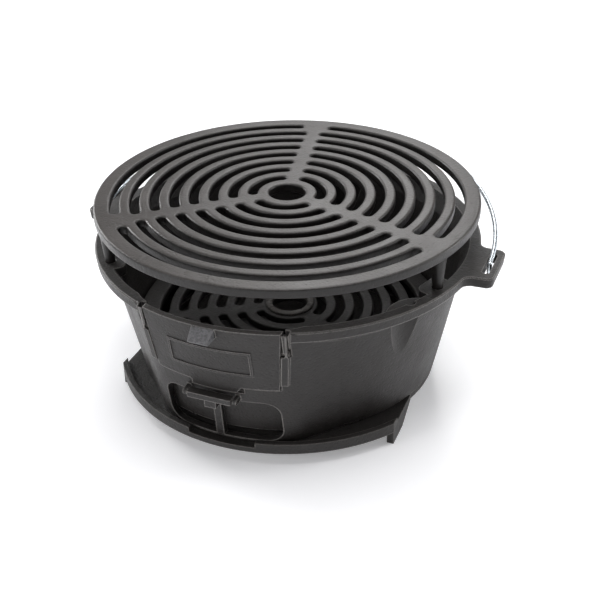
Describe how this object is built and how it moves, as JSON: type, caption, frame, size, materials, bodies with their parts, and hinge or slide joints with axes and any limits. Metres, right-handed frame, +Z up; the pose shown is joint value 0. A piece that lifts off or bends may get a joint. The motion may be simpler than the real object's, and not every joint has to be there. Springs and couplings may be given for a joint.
{
  "type": "portable tabletop grill",
  "caption": "Round cast charcoal grill: tapered fire bowl on a base plate, ringed grates, tilting stoking door, draft door and wire bail.",
  "frame": {"origin": "on the table, under the centre of the round fire bowl", "axes": "+Z up; -Y towards the stoking door; +X and -X through the two ears of the bail handle"},
  "size_m": [0.3754, 0.3569, 0.173],
  "materials": {
    "base_iron": "satin, oiled casting",
    "bowl_iron": "satin, oiled sand casting",
    "grate_iron": "seasoned, slightly glossy",
    "door_iron": "satin sand casting",
    "rod_steel": "dull, heat darkened",
    "plated_wire": "bright zinc plating"
  },
  "bodies": {
    "base": {"base_plate": "base_iron"},
    "bowl": {"fire_bowl": "bowl_iron", "draft_pin": "rod_steel"},
    "charcoal_rack": {"charcoal_grate": "grate_iron"},
    "cooking_rack": {"cooking_grate": "grate_iron", "grate_legs": "grate_iron"},
    "rod": {"door_rod": "rod_steel"},
    "door": {"stoking_door": "door_iron"},
    "draft": {"draft_door": "door_iron"},
    "bail": {"bail_handle": "plated_wire"}
  },
  "joints": [
    {"name": "bowl_lift", "type": "slide", "parent": "base", "child": "bowl", "axis": [0, 0, 1], "range_m": [0, 0.06]},
    {"name": "charcoal_lift", "type": "slide", "parent": "bowl", "child": "charcoal_rack", "axis": [0, 0, 1], "range_m": [0, 0.05]},
    {"name": "cooking_lift", "type": "slide", "parent": "bowl", "child": "cooking_rack", "axis": [0, 0, 1], "range_m": [0, 0.02]},
    {"name": "door_lift", "type": "slide", "parent": "bowl", "child": "rod", "axis": [0, -0.1716, 0.9852], "range_m": [0, 0.04]},
    {"name": "door_tilt", "type": "hinge", "parent": "rod", "child": "door", "pos_m": [0, -0.151, 0.116], "axis": [-1, 0, 0], "range_deg": [0, 60]},
    {"name": "draft_tilt", "type": "hinge", "parent": "bowl", "child": "draft", "pos_m": [0, -0.1613, 0.0666], "axis": [1, 0, 0], "range_deg": [0, 10]},
    {"name": "bail_swing", "type": "hinge", "parent": "bowl", "child": "bail", "pos_m": [0, 0, 0.1362], "axis": [1, 0, 0], "range_deg": [0, 140]}
  ]
}
